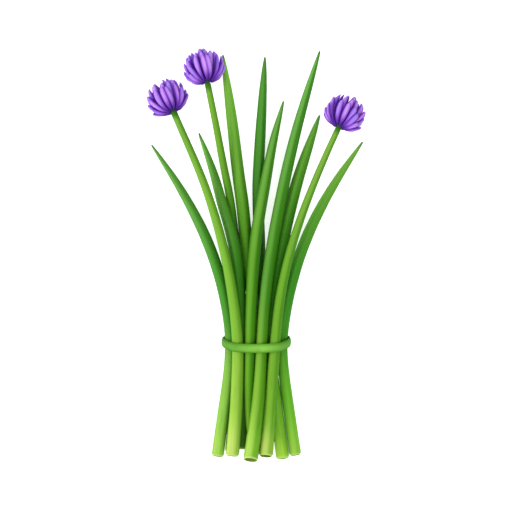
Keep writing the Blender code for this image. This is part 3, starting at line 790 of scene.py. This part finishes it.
def make_stem(node, line, tree, material, look, seed):
    """A hollow stem. Its rings run from the bore's floor to the rounded rim, then outside to the top."""
    _, radius = line.at(np.array([0.0]))
    pinch = PINCHES.get(node, OTHER_PINCHES)
    outer = radius[0] - pinch
    inner = outer - WALL_SHARE * radius[0]
    rim = (inner + outer) / 2
    depth = min(BORE_DEPTH, line.length * BORE_LIMIT)
    inside = [
        (depth, 0), (depth, 0.5 * inner), (depth * 0.97, 0.85 * inner), (depth * 0.9, inner),
        (depth * 0.6, inner + pinch), (depth * 0.3, inner + pinch),
        (0.8 * PINCH_LENGTH, inner + 0.8 * pinch),
        (RIM_ROUND, inner), (0.3 * RIM_ROUND, inner + 0.3 * RIM_ROUND), (0, inner + RIM_ROUND),
        (-0.1 * RIM_ROUND, rim), (0, outer - RIM_ROUND), (0.3 * RIM_ROUND, outer - 0.3 * RIM_ROUND),
    ]
    end = line.length
    top_radius = line.radii[-1]
    round_angles = np.radians(TIP_ROUNDING_ANGLES)
    round_from = end - top_radius
    outside = np.arange(FIRST_RING, round_from - LAST_RING_GAP, RING_STEP)
    outside = np.concatenate([[RIM_ROUND], PINCH_RINGS, outside, [round_from]])
    drawn_in = pinch * np.clip(1 - (outside - RIM_ROUND) / PINCH_LENGTH, 0, 1) ** 2
    swell = SWELLS.get(node, 0) * np.clip(SWELL_FADE * (1 - outside / SWELL_END), 0, 1)
    inside_distances, inside_radii = zip(*inside)
    top_distances = round_from + top_radius * np.cos(round_angles)
    top_radii = top_radius * np.sin(round_angles)
    outside_radii = line.at(outside)[1] - drawn_in + swell
    distances = np.concatenate([inside_distances, outside, top_distances, [end]])
    radii = np.concatenate([inside_radii, outside_radii, top_radii, [0]])
    middles, _ = line.at(distances)
    along, side, up = line.frames(distances)
    middles[len(inside) - 3] -= along[len(inside) - 3] * 0.1 * RIM_ROUND
    middles[:, 2] = np.maximum(middles[:, 2], radii * FLOOR_CLEARANCE)
    middles[:, 0] += NUDGES.get(node, 0) * np.clip(1 - distances / SWELL_END, 0, 1)
    fade = np.clip(distances / SLANT_FADE, 0, 1)
    slant_share = 1 - fade**2 * (3 - 2 * fade)
    slant = along * (radii * line.cut_slope * slant_share)[:, None]
    share = np.clip(distances / end, 0, 1)
    keel_share = np.clip((share - KEEL_FROM) / KEEL_FADE, 0, 1)
    share[:len(inside) - 4] = -INSIDE_SHARE
    share[len(inside) - 4:len(inside) - 2] = 0
    *_, keel, turn = look
    angle = math.radians(turn) * keel_share
    power = ROUND_POWER - KEEL_POWER * keel * keel_share
    power[:len(inside)] = ROUND_POWER
    cosine, sine = np.cos(angle)[:, None], np.sin(angle)[:, None]
    turned_side = side * cosine + up * sine
    turned_up = up * cosine - side * sine
    reach_side, reach_up = turned_side * radii[:, None], turned_up * radii[:, None]
    rings = ring_mesh(node + "_rings", middles, reach_side, reach_up, slant, share, power)
    values = {
        "Sides": SIDES, "Unevenness": STEM_UNEVENNESS, "Seed": float(seed),
        "Join distance": JOIN_DISTANCE, "Material": material,
    }
    return grown(node + "_skin", rings, tree, values)


def tie_loop(lines, y, reach_out):
    """The closed line in (x, z) round the stems with its corners evened out, and the way it faces."""
    sections = [line.at_y(y) for line in lines.values()]
    centres = np.array([centre for centre, _ in sections])
    radii = np.array([radius for _, radius in sections])
    angles, step = np.linspace(-math.pi / 2, 1.5 * math.pi, TIE_DIRECTIONS, endpoint=False, retstep=True)
    facing = np.stack([np.cos(angles), np.sin(angles)], axis=1)
    reach = (facing @ centres.T + radii).max(axis=1)
    shifts = range(-TIE_ROUNDING, TIE_ROUNDING + 1)
    even = np.mean([np.roll(reach, shift) for shift in shifts], axis=0)
    even += (reach - even).max() + reach_out
    slope = (np.roll(even, -1) - np.roll(even, 1)) / (2 * step)
    beside = np.stack([-facing[:, 1], facing[:, 0]], axis=1)
    loop = even[:, None] * facing + slope[:, None] * beside
    return np.vstack([loop, loop[:1]]), np.vstack([facing, facing[:1]])


def make_tie(lines, tree, material):
    """One flattened leaf, once round the stems, its ends side by side underneath."""
    low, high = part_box(TIE_NODE)
    tie_y = (low.y + high.y) / 2
    loop, facings = tie_loop(lines, tie_y, TIE_CLEARANCE + TIE_HALF_THICKNESS)
    lengths = np.concatenate([[0], np.cumsum(np.linalg.norm(np.diff(loop, axis=0), axis=1))])
    total = lengths[-1]
    distances = np.linspace(-TIE_OVERLAP / 2, total + TIE_OVERLAP / 2, TIE_RINGS)
    wrapped = distances % total
    columns = (loop[:, 0], loop[:, 1], facings[:, 0], facings[:, 1])
    x, z, face_x, face_z = (np.interp(wrapped, lengths, column) for column in columns)
    share = np.clip(2 * distances / total - 1, -1, 1)
    side_step = TIE_END_STEP * np.sign(share) * np.abs(share) ** TIE_END_STEP_POWER
    y = tie_y - TIE_LEAN * (z - loop[:, 1].mean()) - side_step
    middles = np.stack([x, y, np.maximum(z, TIE_HALF_THICKNESS * FLOOR_CLEARANCE)], axis=1)
    along = unit(np.gradient(middles, axis=0))
    facing = unit(np.stack([face_x, np.zeros_like(x), face_z], axis=1))
    side = unit(np.cross(along, facing))
    up = np.cross(side, along)
    to_end = np.clip(np.minimum(distances - distances[0], distances[-1] - distances) / TIE_TAPER, 0, 1)
    narrow = np.sqrt(1 - (1 - to_end) ** 2)[:, None]
    # the tie's colour share, squeezed so that its painted highlight stays in the middle
    from_middle = np.linspace(-1, 1, TIE_RINGS)
    painted_highlight_share = 0.5 + 0.5 * np.sign(from_middle) * np.abs(from_middle) ** TIE_HIGHLIGHT_POWER
    rings = ring_mesh(
        "tie_rings", middles, side * TIE_HALF_WIDTH * narrow, up * TIE_HALF_THICKNESS * narrow,
        np.zeros_like(middles), painted_highlight_share, np.full(TIE_RINGS, ROUND_POWER),
    )
    values = {
        "Sides": TIE_SIDES, "Unevenness": TIE_UNEVENNESS, "Seed": TIE_SEED,
        "Join distance": JOIN_DISTANCE, "Material": material,
    }
    return grown(TIE_NODE + "_skin", rings, tree, values)


def petal_width(share):
    """Half the petal's width at a share of its length, as a share of its widest."""
    if share < PETAL_WIDEST_AT:
        widened = math.sin(share / PETAL_WIDEST_AT * math.pi / 2) ** PETAL_WIDENING_POWER
        return PETAL_ROOT_WIDTH + (1 - PETAL_ROOT_WIDTH) * widened
    return math.cos((share - PETAL_WIDEST_AT) / (1 - PETAL_WIDEST_AT) * math.pi / 2) ** PETAL_TIP_POWER


def make_flat_petal():
    """One petal, width 2, length 1 and thickness 2: two ribbed faces that meet at its margin."""
    mesh = bpy.data.meshes.new("flat_petal")
    shape = bmesh.new()
    uv_layer = shape.loops.layers.uv.new("UVMap")
    shares = [1 - (1 - i / PETAL_ROWS) ** PETAL_ROW_CROWDING for i in range(PETAL_ROWS)]
    sides = [2 * i / PETAL_COLUMNS - 1 for i in range(PETAL_COLUMNS + 1)]
    places, uvs = {}, {}

    def corner(row, column, face):
        share, aside = shares[row], sides[column]
        at_margin = column in (0, PETAL_COLUMNS)
        key = (row, column, 0 if at_margin else face)
        if key not in places:
            rib = PETAL_RIB * math.exp(-((aside / PETAL_RIB_WIDTH) ** 2))
            height = 0 if at_margin else face * (math.sqrt(1 - aside**2) - (rib if face < 0 else -rib))
            narrow = min(1, PETAL_ROOT_THICKNESS + share * PETAL_THICKENING)
            narrow *= min(1, (1 - share) * PETAL_THINNING)
            places[key] = shape.verts.new((aside * petal_width(share), share, height * narrow))
            uvs[places[key]] = (0.5 + aside / 2, share)
        return places[key]

    tip = shape.verts.new((0, 1, 0))
    uvs[tip] = (0.5, 1)
    for face in (1, -1):
        for column in range(PETAL_COLUMNS):
            for row in range(PETAL_ROWS - 1):
                corners = [
                    corner(row, column, face), corner(row, column + 1, face),
                    corner(row + 1, column + 1, face), corner(row + 1, column, face),
                ]
                shape.faces.new(corners if face > 0 else corners[::-1])
            corners = [corner(PETAL_ROWS - 1, column, face), corner(PETAL_ROWS - 1, column + 1, face), tip]
            shape.faces.new(corners if face > 0 else corners[::-1])
    edge = [corner(0, column, -1) for column in range(PETAL_COLUMNS + 1)]
    edge += [corner(0, column, 1) for column in range(PETAL_COLUMNS - 1, 0, -1)]
    shape.faces.new(edge)
    bmesh.ops.recalc_face_normals(shape, faces=shape.faces)
    for face in shape.faces:
        face.smooth = True
        for loop in face.loops:
            loop[uv_layer].uv = uvs[loop.vert]
    shape.to_mesh(mesh)
    shape.free()
    return mesh


def head_matrix(head):
    """Where a flower head is: its origin in the receptacle, its Z axis along the head's axis."""
    low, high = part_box(head + "_receptacle")
    centre = (low + high) / 2
    inner_ring = Vector(cad_corners(f"{head}_petals_{len(PETAL_RINGS)}").mean(axis=(0, 1)))
    turned = (inner_ring - centre).to_track_quat("Z", "Y").to_matrix().to_4x4()
    return Matrix.Translation(centre) @ turned @ Matrix.Rotation(math.radians(HEAD_TURNS[head]), 4, "Z")


def make_petals(head, number, place, tree, petal, material):
    """One ring of petals."""
    ring = PETAL_RINGS[number - 1]
    root, root_handle, tip_handle, tip = (Vector((out, 0, along)) * MM for out, along in ring["bend"])
    values = {
        "Count": ring["count"], "Open angle": math.radians(ring["open"]), "Middle of opening": UPPER_SIDE,
        "Root": root, "Root handle": root_handle, "Tip handle": tip_handle, "Tip": tip,
        "Half width": PETAL_HALF_WIDTH, "Half thickness": PETAL_HALF_THICKNESS, "Cup": PETAL_CUP,
        "Disorder": 1.0, "Seed": HEAD_SEEDS[head] + SEED_STEP * number, "Material": material,
    }
    thing = grown(f"{head}_petals_{number}_blades", petal.copy(), tree, values)
    thing.data.transform(place)
    return thing


def make_receptacle(head, place, material):
    """A small dome with a neck that runs down into the stalk, turned from its profile."""
    shape = bmesh.new()
    rings = []
    for radius, height in RECEPTACLE_PROFILE:
        if not radius:
            rings.append([shape.verts.new((0, 0, height * MM))])
            continue
        ring = []
        for i in range(RECEPTACLE_SEGMENTS):
            angle = 2 * math.pi * i / RECEPTACLE_SEGMENTS
            lobe = LOBE_DEPTH * math.cos(angle * RECEPTACLE_SEGMENTS / SEGMENTS_PER_LOBE)
            swell = radius * (1 + lobe) * MM
            ring.append(shape.verts.new((swell * math.cos(angle), swell * math.sin(angle), height * MM)))
        rings.append(ring)
    for lower, upper in zip(rings, rings[1:]):
        for i in range(RECEPTACLE_SEGMENTS):
            j = (i + 1) % RECEPTACLE_SEGMENTS
            corners = [lower[i % len(lower)], lower[j % len(lower)]]
            corners += [upper[j % len(upper)], upper[i % len(upper)]]
            shape.faces.new(list(dict.fromkeys(corners)))
    for face in shape.faces:
        face.smooth = True
    mesh = bpy.data.meshes.new(head + "_receptacle_dome")
    shape.to_mesh(mesh)
    shape.free()
    mesh.transform(place)
    mesh.materials.append(material)
    return new_object(head + "_receptacle_dome", mesh)


# ---- stage ----

VIEW_TILT = math.radians(10)  # the camera looks down, from a little towards the tips
VIEW_DISTANCE = 1.6
VIEW_WIDTH = 0.256
VIEW_MIDDLE = -0.5 * MM
FLOOR_HALF = 3.0
FLOOR_DROP = 0.1 * MM
FLOOR_GLOW = 0.75
FLOOR_TONES = ((0.90, 0.90, 0.90, 1), (0.92, 0.92, 0.92, 1))
SENSOR_WIDTH = 36
TOWARDS_TIPS = Vector((0, 1, 0))
LAMP_TARGET = Vector((0, 0, 0))
LAMP_UP = Vector((0, 1, 0.1))
LAMPS = {  # place, width and power
    "key_lamp": ((-0.85, 0.15, 0.70), 0.6, 6.5),
    "fill_lamp": ((0.3, -0.3, 1.1), 0.9, 4.0),
}
SKY_STRENGTH = 0.62


def make_floor():
    mesh = bpy.data.meshes.new("floor")
    shape = bmesh.new()
    bmesh.ops.create_grid(shape, x_segments=1, y_segments=1, size=FLOOR_HALF)
    bmesh.ops.translate(shape, verts=shape.verts, vec=(0, 0, CAD_BOX[0].z - FLOOR_DROP))
    shape.to_mesh(mesh)
    shape.free()
    mesh.materials.append(make_floor_material())
    new_object("floor", mesh)


def aim(thing, target, roll_up):
    """Turns a camera or lamp to look at target, with roll_up towards the top of its view."""
    back = (thing.location - target).normalized()
    right = roll_up.cross(back).normalized()
    top = back.cross(right)
    thing.rotation_euler = Matrix((right, top, back)).transposed().to_euler()


def make_camera():
    data = bpy.data.cameras.new("camera")
    data.sensor_width = SENSOR_WIDTH
    data.lens = SENSOR_WIDTH * VIEW_DISTANCE / VIEW_WIDTH
    camera = new_object("camera", data)
    target = Vector((0, VIEW_MIDDLE, CAD_BOX[0].z))
    camera.location = target + Vector((0, math.sin(VIEW_TILT), math.cos(VIEW_TILT))) * VIEW_DISTANCE
    aim(camera, target, TOWARDS_TIPS)
    bpy.context.scene.camera = camera


def make_lamp(name, place, size, power):
    data = bpy.data.lights.new(name, "AREA")
    data.shape = "DISK"
    data.size = size
    data.energy = power
    lamp = new_object(name, data)
    lamp.location = place
    aim(lamp, LAMP_TARGET, LAMP_UP)


def make_light():
    for name, (place, size, power) in LAMPS.items():
        make_lamp(name, place, size, power)
    world = bpy.data.worlds.new("studio")
    world.use_nodes = True
    background = world.node_tree.nodes["Background"].inputs
    background["Color"].default_value = WHITE
    background["Strength"].default_value = SKY_STRENGTH
    bpy.context.scene.world = world
    bpy.context.scene.view_settings.view_transform = "Standard"


# ---- main ----

def main():
    groups = {
        "leaf_veins": make_leaf_veins(), "leaf_colour": make_leaf_colour(),
        "petal_colour": make_petal_colour(),
    }
    skin = make_skin_tree()
    lines = {node: StemLine(node) for node in STEM_LOOKS}
    for seed, (node, look) in enumerate(STEM_LOOKS.items(), start=1):
        is_leaf = node.startswith("leaf")
        # painted shade on the side away from the light, along the edges and at a stalk's neck
        amounts = {
            "Painted shade side": PAINTED_SHADE_SIDES.get(node, OTHER_PAINTED_SHADE_SIDES),
            "Painted shade from": PAINTED_SHADE_FROM.get(node, OTHER_PAINTED_SHADE_FROM), "Edges": STEM_EDGE_SHADE,
            "Tip": LEAF_TIPS if is_leaf else 0.0, "Neck shade": 0.0 if is_leaf else STALK_NECK_SHADE,
            "Blush": BLUSHES.get(node, OTHER_BLUSHES),
        }
        colours, colour_seed = look[:4], seed * COLOUR_SEED_STEP
        material = make_stem_material(node + "_skin", groups, colours, colour_seed, **amounts)
        stem = make_stem(node, lines[node], skin, material, look, seed * SHAPE_SEED_STEP)
        finish_piece(stem, node)
    tie_material = make_stem_material(
        TIE_NODE + "_skin", groups, TIE_COLOURS, TIE_COLOUR_SEED, **TIE_EDGE_SHADE
    )
    finish_piece(make_tie(lines, skin, tie_material), TIE_NODE)
    ring_tree = make_petal_ring_tree()
    petal = make_flat_petal()
    receptacle_material = make_receptacle_material("receptacle_skin")
    petal_material = make_petal_material("petal_skin", groups)
    for head in HEAD_TURNS:
        place = head_matrix(head)
        finish_piece(make_receptacle(head, place, receptacle_material), head + "_receptacle")
        for number in range(1, len(PETAL_RINGS) + 1):
            petals = make_petals(head, number, place, ring_tree, petal, petal_material)
            finish_piece(petals, f"{head}_petals_{number}")
    make_floor()
    make_camera()
    make_light()


main()
